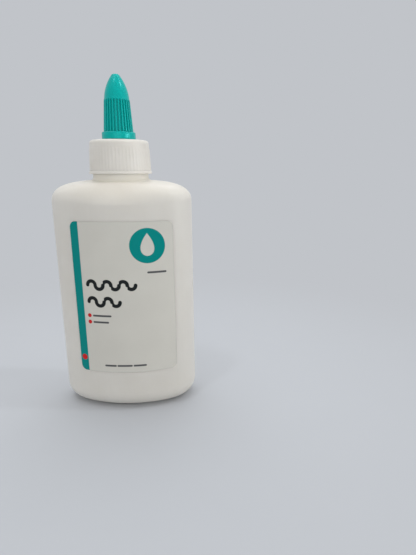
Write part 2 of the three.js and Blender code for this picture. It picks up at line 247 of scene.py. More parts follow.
glueLook = {
    "pale": colour(0.86, 0.85, 0.81), "deep": colour(0.82, 0.81, 0.76),
    "swirls": 90.0, "swirlSpan": (0.3, 0.8), "roughness": 0.10, "coat": 0.25, "relief": 0.06,
}


def whiteGlue():
    look = glueLook
    made, shader = finish("whiteGlueLiquid", {"IOR": 1.47, "Coat Roughness": 0.05})
    swirl = grain(shader, objectPlace(shader), look["swirls"])
    shader.set("Base Color", swirl.soft(*look["swirlSpan"]).blend(look["pale"], look["deep"]))
    shader.set("Roughness", look["roughness"] + swirl * 0.12)
    shader.set("Coat Weight", look["coat"] + swirl * 0.2)
    relief(shader, swirl, look["relief"], 0.5)
    return made


foamLook = {
    "pale": colour(0.80, 0.80, 0.77), "deep": colour(0.68, 0.68, 0.65),
    "cells": 2600.0, "clouds": 300.0, "shadeSpan": (0.2, 0.8), "roughness": 0.75, "relief": 0.08,
}


def sealFoam():
    look = foamLook
    made, shader = finish("whiteSealFoam", {"IOR": 1.45, "Specular IOR Level": 0.3})
    place = objectPlace(shader)
    cells = shader.node("ShaderNodeTexVoronoi", None, {"Vector": place, "Scale": look["cells"]}, "Distance")
    cloud = grain(shader, place, look["clouds"])
    shade = (cells * 0.7 + cloud * 0.4).soft(*look["shadeSpan"])
    shader.set("Base Color", shade.blend(look["pale"], look["deep"]))
    shader.set("Roughness", look["roughness"] + cells * 0.2)
    relief(shader, 1 - cells, look["relief"], 0.9)
    return made


labelPrint = {  # places on the label: along the face from its middle, and height above the table
    "stripe": 3.7,  # width of the coloured edge
    "badge": (10.4, 72.2), "badgeRadius": 7.1,
    "drop": (10.4, 68.1), "dropHeight": 9.3, "dropRadius": 2.8,
    "trails": ((-14.8, 56.2, 3), (-14.8, 49.1, 2)),  # start, height and count of waves
    "trailRadius": 1.65, "trailStroke": 1.5,
    "dots": ((-15.0, 43.1, 0.85), (-15.0, 40.3, 0.85), (-19.1, 24.0, 1.3)),  # place and radius
    "lines": ((-13.1, -5.9, 43.1), (-13.1, -7.1, 40.3), (10.3, 17.3, 61.3),
              (-9.3, -5.1, 21.0), (-4.0, 1.6, 21.0), (2.8, 7.5, 21.0)),  # start, end and height
    "lineStroke": 0.83,
    "edge": 0.10,  # softness of the print's edges
    "pale": colour(0.610, 0.588, 0.534), "deep": colour(0.582, 0.560, 0.508),  # bare film
    "teal": colour(0.002, 0.224, 0.210), "black": colour(0.017, 0.012, 0.013),
    "grey": colour(0.090, 0.085, 0.088), "red": colour(0.560, 0.014, 0.016),
    "clouds": 70.0, "fibres": 2400.0, "filmSpan": (0.3, 0.7),
    "roughness": 0.30, "coat": 0.02, "relief": 0.02,
}


def labelFilm(label):
    look, edge = labelPrint, labelPrint["edge"]
    made, shader = finish("printedLabelFilm", {
        "IOR": 1.5, "Specular IOR Level": 0.14, "Specular Tint": tealGloss, "Coat Roughness": 0.18,
    })
    u, v = shader.node("ShaderNodeUVMap", {"uv_map": "labelPlace"}).split()[:2]
    along = u * label["width"] - label["width"] / 2
    high = v * label["height"] + label["bottom"]

    def inked(distance):  # 1 inside an outline, from the distance to it
        return 1 - distance.soft(-edge, edge)

    def disc(middle, height, radius):
        across, up = along - middle, high - height
        return inked((across * across + up * up).root() - radius)

    def line(start, end, height):
        past = (abs(along - (start + end) / 2) - (end - start) / 2).most(0.0)
        up = high - height
        return inked((past * past + up * up).root() - look["lineStroke"] / 2)

    def bends(start, up, radius, count):  # distance to a row of half circles that stand on a line
        spot = along.math("FLOOR", (along - start) / (4 * radius)).most(0.0).least(count - 1)
        across = along - start - radius - spot * (4 * radius)
        onArc = abs((across * across + up * up).root() - radius)
        toFoot = abs(across) - radius
        toFoot = (toFoot * toFoot + up * up).root()
        above = up.math("GREATER_THAN", up, 0.0)
        return onArc * above + toFoot * (1 - above)

    def trail(start, height, count):  # a run of glue laid down in waves
        radius = look["trailRadius"]
        up = high - height
        crests = bends(start, up, radius, count)
        dips = bends(start + 2 * radius, up * -1, radius, count)
        return inked(crests.least(dips) - look["trailStroke"] / 2)

    def union(masks):
        total = masks[0]
        for mask in masks[1:]:
            total = total.most(mask)
        return total

    dropMiddle, dropLow = look["drop"]
    upDrop = ((high - dropLow) / look["dropHeight"]).most(0.0).least(1.0)
    fullest = 0.385  # greatest value of root(t) * (1 - t)
    dropHalf = upDrop.root() * (1 - upDrop) * (look["dropRadius"] / fullest)
    drop = inked(abs(along - dropMiddle) - dropHalf + edge)  # nothing where the drop has no width
    badge = disc(*look["badge"], look["badgeRadius"]) * (1 - drop)
    stripe = inked(along + label["width"] / 2 - look["stripe"])
    black = union([trail(*run) for run in look["trails"]])
    grey = union([line(*run) for run in look["lines"]])
    red = union([disc(*dot) for dot in look["dots"]])

    place = objectPlace(shader)
    cloud = grain(shader, place, look["clouds"], 3.0)
    fibre = grain(shader, place, look["fibres"])
    toned = (cloud * 0.7 + fibre * 0.3).soft(*look["filmSpan"]).blend(look["pale"], look["deep"])
    for mask, ink in ((stripe.most(badge), "teal"), (black, "black"), (grey, "grey"), (red, "red")):
        toned = mask.blend(toned, look[ink])
    shader.set("Base Color", toned)
    printed = union([stripe, badge, black, grey, red])
    shader.set("Roughness", look["roughness"] + fibre * 0.10 - printed * 0.06)
    shader.set("Coat Weight", look["coat"] + printed * 0.03)
    relief(shader, printed * 0.5 + fibre * 0.3 + cloud * 0.4, look["relief"], 0.6)
    return made


def tidyNormals(shape):  # closed seams, faces outwards, smooth but for sharp edges
    bmesh.ops.remove_doubles(shape, verts=shape.verts, dist=weld)
    bmesh.ops.recalc_face_normals(shape, faces=shape.faces)
    for face in shape.faces:
        face.smooth = True
    for edge in shape.edges:
        edge.smooth = not (len(edge.link_faces) == 2 and edge.calc_face_angle() > sharpAngle)


def asMesh(name, shape):  # keeps a built shape as a mesh
    made = bpy.data.meshes.new(name)
    shape.to_mesh(made)
    shape.free()
    return made


def skin(name, rings):  # a closed skin over rings of points, with a fan to the middle of the first and last
    count = len(rings[0])
    top = 2 + (len(rings) - 1) * count
    points = [sum((Vector(point) for point in row), Vector()) / count for row in (rings[0], rings[-1])]
    points += [point for row in rings for point in row]
    shape = bmesh.new()
    corners = [shape.verts.new(Vector(point) * mm) for point in points]
    for i in range(count):
        j = (i + 1) % count
        faces = [(low + i, low + j, low + count + j, low + count + i) for low in range(2, top, count)]
        for face in faces + [(0, 2 + j, 2 + i), (1, top + i, top + j)]:
            shape.faces.new([corners[k] for k in face])
    tidyNormals(shape)
    return asMesh(name, shape)


def joined(name, meshes):
    shape = bmesh.new()
    for mesh in meshes:
        shape.from_mesh(mesh)
    return asMesh(name, shape)


def putPiece(name, mesh, material, node, body):  # a finished piece in its node's place
    mesh.materials.clear()
    mesh.materials.append(material)
    made = bpy.data.objects.new(name, mesh)
    bpy.context.scene.collection.objects.link(made)
    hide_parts(node)
    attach(made, body)
    mesh.calc_loop_triangles()
    print("piece", name, len(mesh.loop_triangles), "triangles")


def grow(name, tree, seed, sizes):  # runs a node tree on a seed mesh and keeps the result as a plain mesh
    holder = bpy.data.objects.new(name + "Seed", seed)
    bpy.context.scene.collection.objects.link(holder)
    modifier = holder.modifiers.new("shape", "NODES")
    modifier.node_group = tree
    for item in tree.interface.items_tree:
        if item.in_out == "INPUT" and item.name in sizes:
            modifier[item.identifier] = sizes[item.name]
    graph = bpy.context.evaluated_depsgraph_get()
    made = bpy.data.meshes.new_from_object(holder.evaluated_get(graph))
    holder.modifiers.remove(modifier)
    bpy.data.objects.remove(holder)
    shape = bmesh.new()
    shape.from_mesh(made)
    tidyNormals(shape)
    shape.to_mesh(made)
    shape.free()
    return made


def shapeTree(name, inputs):  # a new tree with named inputs
    tree = bpy.data.node_groups.new(name, "GeometryNodeTree")
    tree.interface.new_socket("Geometry", in_out="INPUT", socket_type="NodeSocketGeometry")
    for title, kind in inputs:
        tree.interface.new_socket(title, in_out="INPUT", socket_type="NodeSocket" + kind)
    tree.interface.new_socket("Material", in_out="INPUT", socket_type="NodeSocketMaterial")
    tree.interface.new_socket("Geometry", in_out="OUTPUT", socket_type="NodeSocketGeometry")
    return Wire(tree).node("NodeGroupInput", None, None, "Geometry")


def endTree(given, shape):  # ends a tree in real geometry with its material
    real = shape.node("GeometryNodeRealizeInstances", None, {"Geometry": shape})
    sockets = {"Geometry": real, "Material": given.other("Material")}
    shape.node("NodeGroupOutput", None, {"Geometry": shape.node("GeometryNodeSetMaterial", None, sockets)})
    return given.tree


def turnedTree():  # turns a profile about Z and raises ribs on it where the profile says so
    given = shapeTree("turnedAndRibbed", (
        ("Sides", "Int"), ("Rib Count", "Float"), ("Rib Depth", "Float"), ("Rib Edge", "Float"),
        ("Rib Bias", "Float"), ("Rib Phase", "Float")))
    count = given.node("GeometryNodeAttributeDomainSize", None, {"Geometry": given}, "Point Count")
    columns = given.other("Sides") + 1
    grid = given.node("GeometryNodeMeshGrid", None, {"Vertices X": columns, "Vertices Y": count}, "Mesh")
    index = given.node("GeometryNodeInputIndex")
    row = index.math("FLOORED_MODULO", index, count)
    column = index.math("FLOOR", (index + 0.5) / count)

    def fromProfile(kind, value):
        sockets = {"Geometry": given, "Value": value, "Index": row}
        return given.node("GeometryNodeSampleIndex", {"data_type": kind}, sockets)

    spot = fromProfile("FLOAT_VECTOR", given.node("GeometryNodeInputPosition")).split()
    radius, height = spot[0], spot[2]
    share = fromProfile("FLOAT", given.node(
        "GeometryNodeInputNamedAttribute", {"data_type": "FLOAT"}, {"Name": "ribShare"}, "Attribute"))
    angle = column * (2 * pi) / given.other("Sides")
    edge, bias = given.other("Rib Edge"), given.other("Rib Bias")
    wave = (angle * given.other("Rib Count") + given.other("Rib Phase")).cosine()
    wave = wave.soft(bias - edge, bias + edge)
    reach = radius + wave * share * given.other("Rib Depth")
    # mask for the painted shade of the tip: 1 on the crests and plain parts, lower down in the grooves
    crest = {"Geometry": grid, "Name": "grooveShadeMask", "Value": 1 - share * (1 - wave)}
    shape = given.node("GeometryNodeStoreNamedAttribute", {"data_type": "FLOAT", "domain": "POINT"}, crest)
    spot = {"X": reach * angle.cosine(), "Y": reach * angle.sine(), "Z": height}
    spot = given.node("ShaderNodeCombineXYZ", None, spot)
    shape = given.node("GeometryNodeSetPosition", None, {"Geometry": shape, "Position": spot})
    shape = given.node("GeometryNodeMergeByDistance", None, {"Geometry": shape, "Distance": closing})
    return endTree(given, shape)


def threadTree():  # a screw thread that runs out at both ends
    given = shapeTree("screwThread", (
        ("Turns", "Float"), ("Radius", "Float"), ("Rise", "Float"), ("Bottom", "Float"),
        ("Start Turn", "Float"), ("Root", "Float"), ("Crest", "Float"), ("Reach", "Float"),
        ("Sunk", "Float"), ("Run Out", "Float"), ("Steps", "Int")))
    radius = given.other("Radius")
    coil = given.node("GeometryNodeCurveSpiral", None, {
        "Resolution": given.other("Steps"), "Rotations": given.other("Turns"), "Start Radius": radius,
        "End Radius": radius, "Height": given.other("Rise")})
    coil = given.node("GeometryNodeSetCurveNormal", {"mode": "Z_UP"}, {"Curve": coil})
    spot = given.node("ShaderNodeCombineXYZ", None, {"Z": given.other("Bottom")})
    heading = given.node("ShaderNodeCombineXYZ", None, {"Z": given.other("Start Turn")})
    coil = given.node("GeometryNodeTransform", None, {
        "Geometry": coil, "Translation": spot, "Rotation": heading})
    along = given.node("GeometryNodeSplineParameter", None, None, "Factor")
    ends = (along / given.other("Run Out")).least((1 - along) / given.other("Run Out")).least(1.0)

    def corner(out, up):
        return given.node("ShaderNodeCombineXYZ", None, {"X": out, "Y": up})

    root, crest = given.other("Root") / 2, given.other("Crest") / 2
    inner, outer = given.other("Sunk") * -1, given.other("Reach")
    section = given.node("GeometryNodeCurvePrimitiveQuadrilateral", {"mode": "POINTS"}, {
        "Point 1": corner(inner, root), "Point 2": corner(outer, crest),
        "Point 3": corner(outer, crest * -1), "Point 4": corner(inner, root * -1)})
    shape = given.node("GeometryNodeCurveToMesh", None, {
        "Curve": coil, "Profile Curve": section, "Scale": ends.root(), "Fill Caps": True})
    return endTree(given, shape)


turned = turnedTree()
thread = threadTree()
# a larger edge softens the flanks of the ribs, a larger bias narrows them, phase is in radians
noRibs = {"count": 1, "depth": 0.0, "edge": 0.6, "bias": 0.0, "phase": 0.0}


def shares(count, first=0):  # even steps up to 1
    return [i / count for i in range(first, count + 1)]


def rounded(corner, size, start, end, steps):  # an arc in place of a profile's corner, by its angles
    middle = radians(start + end) / 2
    across, up = corner[0] - copysign(size, cos(middle)), corner[1] - copysign(size, sin(middle))
    angles = [radians(start + (end - start) * i / steps) for i in range(steps + 1)]
    return [(across + size * cos(a), up + size * sin(a)) for a in angles]


def bulge(start, end, sagitta, steps):  # a bowed line between two profile points, both included
    run, rise = end[0] - start[0], end[1] - start[1]
    size = hypot(run, rise)
    control = ((start[0] + end[0]) / 2 + 2 * sagitta * rise / size,
               (start[1] + end[1]) / 2 - 2 * sagitta * run / size)
    return [tuple((1 - t) ** 2 * a + 2 * t * (1 - t) * c + t * t * b for a, c, b in zip(start, control, end))
            for t in shares(steps)]


def plain(points):  # profile points without ribs
    return [(radius, height, 0.0) for radius, height in points]


def turn(name, profile, sides, material, ribs=noRibs):  # profile points: radius, height, share of the ribs
    seed = bpy.data.meshes.new(name + "Profile")
    seed.from_pydata([(radius * mm, 0.0, height * mm) for radius, height, share in profile], [], [])
    ribShare = seed.attributes.new("ribShare", "FLOAT", "POINT")
    ribShare.data.foreach_set("value", [share for radius, height, share in profile])
    return grow(name, turned, seed, {
        "Sides": sides, "Rib Count": float(ribs["count"]), "Rib Depth": ribs["depth"] * mm,
        "Rib Edge": ribs["edge"], "Rib Bias": ribs["bias"], "Rib Phase": ribs["phase"],
        "Material": material})


def screw(name, size, radius, base, material):  # one mesh for each lead, its start in degrees
    rise, bottom = size["turns"] * size["pitch"], base + size["lift"]
    return [grow(name, thread, bpy.data.meshes.new(name + "Seed"), {
        "Turns": size["turns"], "Radius": radius * mm, "Rise": rise * mm, "Bottom": bottom * mm,
        "Start Turn": radians(size["start"] + 360 * i / size["leads"]),
        "Root": size["root"] * mm, "Crest": size["crest"] * mm, "Reach": size["reach"] * mm,
        "Sunk": size["sunk"] * mm, "Run Out": size["runOut"], "Steps": size["steps"],
        "Material": material}) for i in range(size["leads"])]


def level(node, end):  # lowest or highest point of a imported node, in millimetres
    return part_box(node)[end].z / mm


finishes = {
    "bottle": whiteBottle(),
    "cap": whiteCap(),
    "tip": tealTip(),
    "glue": whiteGlue(),
    "seal": sealFoam(),
}
print("finishes made:", len(finishes))

bottle = {
    "width": (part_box("bottle")[1].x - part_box("bottle")[0].x) / mm,
    "depth": (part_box("bottle")[1].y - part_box("bottle")[0].y) / mm,
    "lip": level("bottle", 1),
    "faceRadius": 48.0,  # crown of the front and back
    "wall": 0.9,
    "heel": 8.0,
    "rim": 2.5,  # flat ring that it stands on
    "pushUp": 2.0, "pushUpPower": 1.3,  # hollow of the base
    "shoulderStart": 88.1, "shoulderRise": 9.2, "shoulderFall": 1.3,
    "endSquareness": 2.8, "faceSquareness": 1.3,
    "saddle": 0.8,  # how much lower the shoulder meets the neck over the faces
    "foot": 11.2, "footHeight": 3.3, "footFlare": 1.2, "footRound": 0.4,  # wide foot, in the cap's entry
    "neck": 9.6, "neckRound": 0.3, "bore": 7.8, "boreRound": 0.3, "lipRound": 0.5,
    "thread": {"turns": 1.9, "pitch": 3.1, "lift": 1.7, "start": 200, "leads": 1, "root": 1.7,
               "crest": 0.7, "reach": 0.8, "sunk": 0.3, "runOut": 0.09, "steps": 96},
    "sides": 192, "baseSteps": 10, "heelSteps": 18, "shoulderSteps": 32,
}
halfWidth, halfDepth = bottle["width"] / 2, bottle["depth"] / 2
endRadius = (2 * bottle["faceRadius"] * halfDepth - halfWidth ** 2 - halfDepth ** 2) / (
    2 * (bottle["faceRadius"] - halfWidth))
endMiddle = halfWidth - endRadius
faceMiddle = halfDepth - bottle["faceRadius"]
faceTurn = atan2(endMiddle, -faceMiddle)  # where the crowned face meets the round end
bodyAngles = [2 * pi * i / bottle["sides"] for i in range(bottle["sides"])]


def ovalReach(angle, inset):  # distance from the axis to the body's oval, drawn in by an inset
    across, through = abs(cos(angle)), abs(sin(angle))
    jointX = endMiddle + (endRadius - inset) * sin(faceTurn)
    jointY = (endRadius - inset) * cos(faceTurn)
    if through * jointX < jointY * across:
        inwards, radius, middle = across * endMiddle, endRadius - inset, endMiddle
    else:
        inwards, radius, middle = through * faceMiddle, bottle["faceRadius"] - inset, faceMiddle
    return inwards + sqrt(radius ** 2 - middle ** 2 + inwards ** 2)


def baseReach(angle, drawnIn):  # the same to an ellipse of the base
    return 1 / hypot(cos(angle) / (halfWidth - drawnIn), sin(angle) / (halfDepth - drawnIn))


def ring(reach, height):  # points round the axis, from functions of the angle
    return [(reach(a) * cos(a), reach(a) * sin(a), height(a)) for a in bodyAngles]


def roundRings(points):  # level circles from profile points
    return [ring(lambda a, r=radius: r, lambda a, z=height: z) for radius, height in points]


def baseRings(inset):  # from the middle of the base over the standing rim and up round the heel
    heel, made = bottle["heel"], []
    for t in shares(bottle["baseSteps"], 1):
        made.append(ring(lambda a: t * baseReach(a, heel + bottle["rim"]),
                         lambda a: inset + bottle["pushUp"] * (1 - t ** 2) ** bottle["pushUpPower"]))
    for t in shares(bottle["heelSteps"]):
        out, up = sin(t * pi / 2), cos(t * pi / 2)
        made.append(ring(lambda a: (1 - out) * baseReach(a, heel) + out * ovalReach(a, inset),
                         lambda a: heel - (heel - inset) * up))
    return made


def saddle(angle):  # dip of the top of the shoulder towards the faces
    return bottle["saddle"] * sin(angle) ** 2


def shoulderRings(inset, neck):  # every meridian is a superellipse, squarer over the round ends
    rise, made = bottle["shoulderRise"] - bottle["shoulderFall"] - inset, []
    squarer = bottle["endSquareness"] - bottle["faceSquareness"]

    def power(angle):
        return 2 / (bottle["faceSquareness"] + squarer * cos(angle) ** 2)

    for t in shares(bottle["shoulderSteps"]):
        def out(a):
            return max(cos(t * pi / 2), 0.0) ** power(a) if t < 1 else 0.0
        made.append(ring(
            lambda a: neck + (ovalReach(a, inset) - neck) * out(a),
            lambda a: (bottle["shoulderStart"] + (rise - saddle(a)) * sin(t * pi / 2) ** power(a)
                       + bottle["shoulderFall"] * (1 - out(a)))))
    return made


def makeBottle():
    top = bottle["shoulderStart"] + bottle["shoulderRise"]
    footTop, lip = top + bottle["footHeight"], bottle["lip"]
    foot, flare, neck, bore = bottle["foot"], bottle["footFlare"], bottle["neck"], bottle["bore"]
    outside = baseRings(0.0) + shoulderRings(0.0, foot + flare)
    outside += [ring(lambda a, r=radius: r, lambda a, z=height: z - saddle(a))
                for radius, height in rounded((foot, top), flare, -90, -180, 10)[1:]]
    neckRings = roundRings(
        rounded((foot, footTop), bottle["footRound"], 0, 90, 5)
        + rounded((neck, footTop), bottle["neckRound"], -90, -180, 4)
        + rounded((neck, lip), bottle["lipRound"], 0, 90, 6)
        + rounded((bore, lip), bottle["boreRound"], 90, 180, 4))
    inside = list(reversed(baseRings(bottle["wall"]) + shoulderRings(bottle["wall"], bore)))
    shell = skin("bottleShell", outside + neckRings + inside)
    coil = screw("neckThread", bottle["thread"], neck, footTop, finishes["bottle"])
    mesh = joined("bottleBody", [shell] + coil)
    putPiece("bottleBody", mesh, finishes["bottle"], "bottle", "bottle")


makeBottle()

glue = {
    "gap": 0.3,  # to the bottle's wall
    "meniscus": ((1.0, 0.0), (0.992, 0.22), (0.975, 0.36), (0.94, 0.46), (0.88, 0.5), (0.6, 0.5),
                 (0.3, 0.5), (0.02, 0.5)),  # share of the reach, and depth under the brim
}


def makeGlue():
    inset, fill = bottle["wall"] + glue["gap"], level("glue_fill", 1)
    surface = [ring(lambda a, s=share: s * ovalReach(a, inset), lambda a, d=dip: fill - d)
               for share, dip in glue["meniscus"]]
    mesh = skin("glueBody", baseRings(inset) + surface)
    putPiece("glueBody", mesh, finishes["glue"], "glue_fill", "bottle")


makeGlue()

label = {
    "width": 42.0, "height": 63.8, "bottom": level("front_label", 0), "offset": 2.0,  # offset to the right
    "corner": 2.5, "film": 0.05, "gap": 0.015,
    "columns": 72, "rows": 40, "cornerSteps": 10,
}


def faceSpot(along, offset, height):  # a point over the front face, by its distance along the oval
    run = bottle["faceRadius"] * faceTurn
    past = abs(along) - run
    angle = faceTurn + past / endRadius if past > 0 else abs(along) / bottle["faceRadius"]
    radius = (endRadius if past > 0 else bottle["faceRadius"]) + offset
    side = (endMiddle if past > 0 else 0.0) + radius * sin(angle)
    front = (0.0 if past > 0 else faceMiddle) + radius * cos(angle)
    return (side if along > 0 else -side, -front, height)


def makeLabel():
    half, corner = label["width"] / 2, label["corner"]
    flat = half - corner
    roundEnd = [(flat + corner * sin(t * pi / 2), corner * (1 - cos(t * pi / 2)))
                for t in shares(label["cornerSteps"], 1)]
    columns = [(-along, cut) for along, cut in reversed(roundEnd)]
    columns += [(flat * (2 * t - 1), 0.0) for t in shares(label["columns"])] + roundEnd
    shape = bmesh.new()
    sheets, places = [], {}
    for offset in (label["gap"], label["gap"] + label["film"]):
        sheet = []
        for along, cut in columns:
            strip = []
            for t in shares(label["rows"]):
                high = cut + (label["height"] - 2 * cut) * t
                spot = Vector(faceSpot(along + label["offset"], offset, label["bottom"] + high))
                spot = shape.verts.new(spot * mm)
                places[spot] = ((along + half) / label["width"], high / label["height"])
                strip.append(spot)
            sheet.append(strip)
        sheets.append(sheet)
    inner, outer = sheets
    last, top = len(columns) - 1, label["rows"]
    for i in range(last):
        for j in range(top):
            shape.faces.new((outer[i][j], outer[i + 1][j], outer[i + 1][j + 1], outer[i][j + 1]))
            shape.faces.new((inner[i][j], inner[i][j + 1], inner[i + 1][j + 1], inner[i + 1][j]))
        for j in (0, top):
            shape.faces.new((inner[i][j], inner[i + 1][j], outer[i + 1][j], outer[i][j]))
    for i in (0, last):
        for j in range(top):
            shape.faces.new((inner[i][j], inner[i][j + 1], outer[i][j + 1], outer[i][j]))
    layer = shape.loops.layers.uv.new("labelPlace")
    for face in shape.faces:
        for loop in face.loops:
            loop[layer].uv = places[loop.vert]
    tidyNormals(shape)
    mesh = asMesh("labelSheet", shape)
    putPiece("labelSheet", mesh, labelFilm(label), "front_label", "bottle")


makeLabel()

seal = {"bore": 7.8, "outer": 10.5, "round": 0.22, "sides": 128}


def makeSeal():
    low, high, edge = level("seal_ring", 0), level("seal_ring", 1), seal["round"]
    profile = plain(
        rounded((seal["outer"], low), edge, -90, 0, 4) + rounded((seal["outer"], high), edge, 0, 90, 4)
        + rounded((seal["bore"], high), edge, 90, 180, 4) + rounded((seal["bore"], low), edge, 180, 270, 4))
    mesh = turn("sealRing", profile + profile[:1], seal["sides"], finishes["seal"])
    putPiece("sealRing", mesh, finishes["seal"], "seal_ring", "seal_ring")


makeSeal()

tip = {
    "bottom": level("twist_tip", 0), "end": level("twist_tip", 1),
    "bore": 4.5, "boreRound": 0.2, "wall": 0.75,
    "collar": 6.72, "collarHeight": 2.85, "collarFoot": 0.25, "collarRound": 0.45,
    "gripHeight": 12.15, "gripDraft": 0.72, "gripStart": 0.25, "gripStop": 0.7, "gripLevels": 8,
    "ribs": {"count": 28, "depth": 0.65, "edge": 0.35, "bias": 0.15, "phase": pi}, "ribSteps": 16,
    "ribFade": 0.13,  # the ribs grow lower towards the nose
    "gripFoot": ((0.25, 0.0, 0.45), (0.06, 0.1, 0.88)),  # outwards, upwards and share of the ribs
    "gripHead": ((0.0, -0.45, 1.0), (0.08, -0.24, 0.86), (0.20, -0.08, 0.55)),
    "noseFoot": ((-0.03, 0.06, 0.16), (-0.02, 0.24, 0.0)),
    "noseStep": 0.42, "noseBulge": 0.72, "noseSteps": 22, "hollowSteps": 10,
    "endRadius": 1.65, "endFlat": 0.97, "endDrop": 0.5, "endBulge": 0.11, "endSteps": 6,
    "orifice": 0.8, "orificeLand": 1.6, "orificeRound": 0.12,
}


def tipBoreAt(height):  # radius inside the tip, smaller towards the nose
    rise = (height - tip["bottom"] - tip["collarHeight"]) / tip["gripHeight"]
    return tip["bore"] - tip["gripDraft"] * min(max(rise, 0.0), 1.0)


def makeTip():
    bottom, end, bore = tip["bottom"], tip["end"], tip["bore"]
    collarTop = bottom + tip["collarHeight"]
    gripTop = collarTop + tip["gripHeight"]

    def gripAt(height):  # radius between the ribs
        return bore + tip["wall"] - tip["gripDraft"] * (height - collarTop) / tip["gripHeight"]

    nose = gripAt(gripTop) + tip["noseStep"]
    noseEnd = (tip["endRadius"], end - tip["endDrop"])
    land = (tip["orifice"], end - tip["orificeLand"])
    low, high = collarTop + tip["gripStart"], gripTop - tip["gripStop"]
    grip = [(gripAt(collarTop) + out, collarTop + up, share) for out, up, share in tip["gripFoot"]]
    for t in shares(tip["gripLevels"]):
        height = low + (high - low) * t
        grip.append((gripAt(height), height, 1 - tip["ribFade"] * t))
    full = 1 - tip["ribFade"]
    grip += [(gripAt(gripTop) + out, gripTop + up, share * full) for out, up, share in tip["gripHead"]]
    grip += [(nose + out, gripTop + up, share * full) for out, up, share in tip["noseFoot"]]
    profile = plain(
        rounded((bore, bottom), tip["boreRound"], 180, 270, 3)
        + rounded((tip["collar"], bottom), tip["collarFoot"], -90, 0, 4)
        + rounded((tip["collar"], collarTop), tip["collarRound"], 0, 90, 6))
    profile += grip
    profile += plain(
        bulge((nose, gripTop), noseEnd, tip["noseBulge"], tip["noseSteps"])[2:]  # after the foot
        + bulge(noseEnd, (tip["endFlat"], end), tip["endBulge"], tip["endSteps"])[1:]
        + rounded((tip["orifice"], end), tip["orificeRound"], 90, 180, 3)
        + bulge((tipBoreAt(gripTop), gripTop), land, tip["noseBulge"], tip["hollowSteps"])[::-1]
        + [(bore, collarTop)])
    sides = tip["ribs"]["count"] * tip["ribSteps"]
    mesh = turn("twistTip", profile + profile[:1], sides, finishes["tip"], tip["ribs"])
    putPiece("twistTip", mesh, finishes["tip"], "twist_tip", "twist_tip")


clearance = {"tip": 0.3, "seal": 0.15}  # of the cap to the tip and to the seal
cap = {
    "rim": level("base_cap", 0),
    "deckBottom": level("seal_ring", 1) + clearance["seal"], "deckTop": tip["bottom"] - clearance["tip"],
    "bore": 10.8, "boreRound": 0.4, "entry": 11.5, "entryDepth": 1.6, "entryRound": 0.22,
    "topRadius": 11.82, "draft": 0.55, "bow": 1.7,  # bowed, so that the skirt is nearly upright at the rim
    "rimStep": 0.31, "rimBand": 1.1, "rimRound": 0.4, "bandRound": 0.5,  # round band that stands out
    "ribs": {"count": 56, "depth": 0.07, "edge": 0.75, "bias": 0.0, "phase": 0.0}, "ribSteps": 8,
    "ribFoot": 0.15, "ribHead": 0.2, "ribLevels": 10,
    "ribEnd": ((0.03, 0.0, 0.6), (0.07, 0.2, 0.0)),  # inwards, upwards and share of the ribs
    "topBand": 3.25, "topUpright": 2.1, "topEase": ((0.04, 0.0), (0.01, 0.3)), "deckFillet": 1.3,
    "spout": 4.2, "spoutBore": 3.1, "spoutHeight": 10.4, "spoutFoot": 0.4, "spoutUpright": 2.8,
    "spoutRound": 0.2, "spoutLip": 0.15,
    "webs": 3, "webThickness": 0.9, "webHeight": 2.0, "webEdge": 0.12,
    "pin": 0.55, "pinEnd": level("base_cap", 1), "pinLand": 2.6, "pinRound": 0.2,
    "pinFoot": 1.3, "pinStep": 0.1, "pinSides": 48,
    "thread": {"turns": 1.8, "pitch": 3.1, "lift": 3.0, "start": 20, "leads": 1, "root": 1.5,
               "crest": 0.6, "reach": -0.34, "sunk": -0.25, "runOut": 0.09, "steps": 96},
    "spoutThread": {"turns": 0.9, "pitch": 5.0, "lift": 0.9, "start": 0, "leads": 2, "root": 0.9,
                    "crest": 0.4, "reach": 0.2, "sunk": 0.15, "runOut": 0.08, "steps": 72},
}


def makeWeb(size, middle, angle):  # a block with its edges broken
    shape = bmesh.new()
    bmesh.ops.create_cube(shape, size=1.0)
    bmesh.ops.scale(shape, vec=Vector(size) * mm, verts=shape.verts)
    bmesh.ops.translate(shape, vec=Vector(middle) * mm, verts=shape.verts)
    edge = cap["webEdge"] * mm
    bmesh.ops.bevel(shape, geom=shape.edges[:], offset=edge, segments=2, profile=0.5, affect="EDGES")
    bmesh.ops.rotate(shape, cent=Vector(), matrix=Matrix.Rotation(angle, 3, "Z"), verts=shape.verts)
    tidyNormals(shape)
    return asMesh("pinWeb", shape)


def makePin(bottom, stepTop):
    profile = plain(
        [(0.0, bottom)] + rounded((cap["pinFoot"], bottom), cap["pinRound"], -90, 0, 3)
        + rounded((cap["pinFoot"], stepTop), cap["pinStep"], 0, 60, 3)
        + [(cap["pin"], cap["pinEnd"] - cap["pinLand"])]
        + rounded((cap["pin"], cap["pinEnd"]), cap["pinRound"], 0, 90, 5) + [(0.0, cap["pinEnd"])])
    return turn("sealingPin", profile, cap["pinSides"], finishes["cap"])


